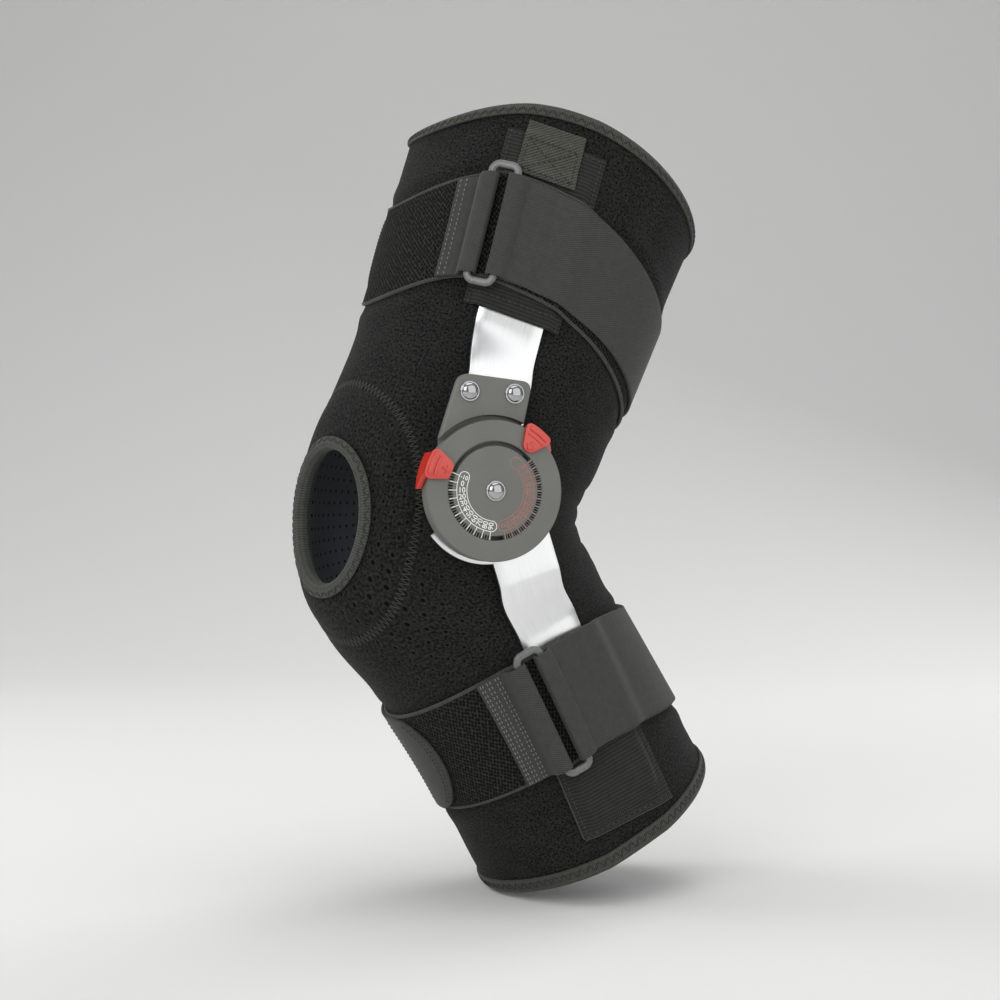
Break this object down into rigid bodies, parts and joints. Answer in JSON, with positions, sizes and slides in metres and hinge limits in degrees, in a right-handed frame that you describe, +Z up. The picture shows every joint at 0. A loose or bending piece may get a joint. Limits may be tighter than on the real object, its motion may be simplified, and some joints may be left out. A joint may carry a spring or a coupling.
{
  "type": "hinged knee brace",
  "caption": "Knee brace worn bent: perforated sleeve with an open kneecap, side bars on a dial hinge with clip-in motion stops, and straps that fold back through slotted rings.",
  "frame": {"origin": "Middle of the knee, on the axis of the dial hinge, halfway between the two hinges.", "axes": "+Z up along the leg, -X the front of the knee, -Y the outer side with the dial hinge, +Y the inner side."},
  "size_m": [0.2059, 0.1564, 0.3712],
  "materials": {
    "neoprene": "brushed loop face over foam, with fine round perforations",
    "binding": "ribbed elastic tape folded over the edge, zigzag stitched",
    "loop_band": "coarse unbroken-loop mesh with paler piped edges",
    "strap": "smooth fine-woven elastic strap",
    "pocket": "twill cloth with rows of stitching",
    "webbing": "ribbed webbing, box stitched",
    "ring": "moulded grey plastic, slightly milky",
    "bar": "fine brushed, bright edges",
    "cover": "moulded grey plastic, fine grain",
    "dial": "moulded grey plastic with printed scales",
    "stop": "moulded red plastic with raised ridges",
    "rivet": "polished dome"
  },
  "bodies": {
    "brace": {"sleeve": "neoprene", "top_binding": "binding", "bottom_binding": "binding", "knee_binding": "binding", "thigh_band": "loop_band", "calf_band": "loop_band", "thigh_ring": "ring", "calf_ring": "ring", "thigh_ring_tab": "strap", "calf_ring_tab": "strap", "thigh_strap": "strap", "calf_strap": "strap", "thigh_pocket": "pocket", "calf_pocket": "pocket", "pull_tab": "webbing", "upper_bar": "bar", "lower_bar": "bar", "hinge_cover": "cover", "dial": "dial", "pivot_rivet": "rivet", "inner_pivot_rivet": "rivet", "neck_rivet_front": "rivet", "inner_neck_rivet_front": "rivet", "neck_rivet_back": "rivet", "inner_neck_rivet_back": "rivet", "inner_thigh_pocket": "pocket", "inner_calf_pocket": "pocket", "inner_upper_bar": "bar", "inner_lower_bar": "bar", "inner_hinge_cover": "cover"},
    "extension_stop": {"extension_stop": "stop"},
    "flexion_stop": {"flexion_stop": "stop"}
  },
  "joints": [
    {"name": "extension_stop_turn", "type": "hinge", "parent": "brace", "child": "extension_stop", "pos_m": [0, 0, 0], "axis": [0, -1, 0], "range_deg": [0, 90]},
    {"name": "flexion_stop_turn", "type": "hinge", "parent": "brace", "child": "flexion_stop", "pos_m": [0, 0, 0], "axis": [0, -1, 0], "range_deg": [-115, 0]}
  ]
}
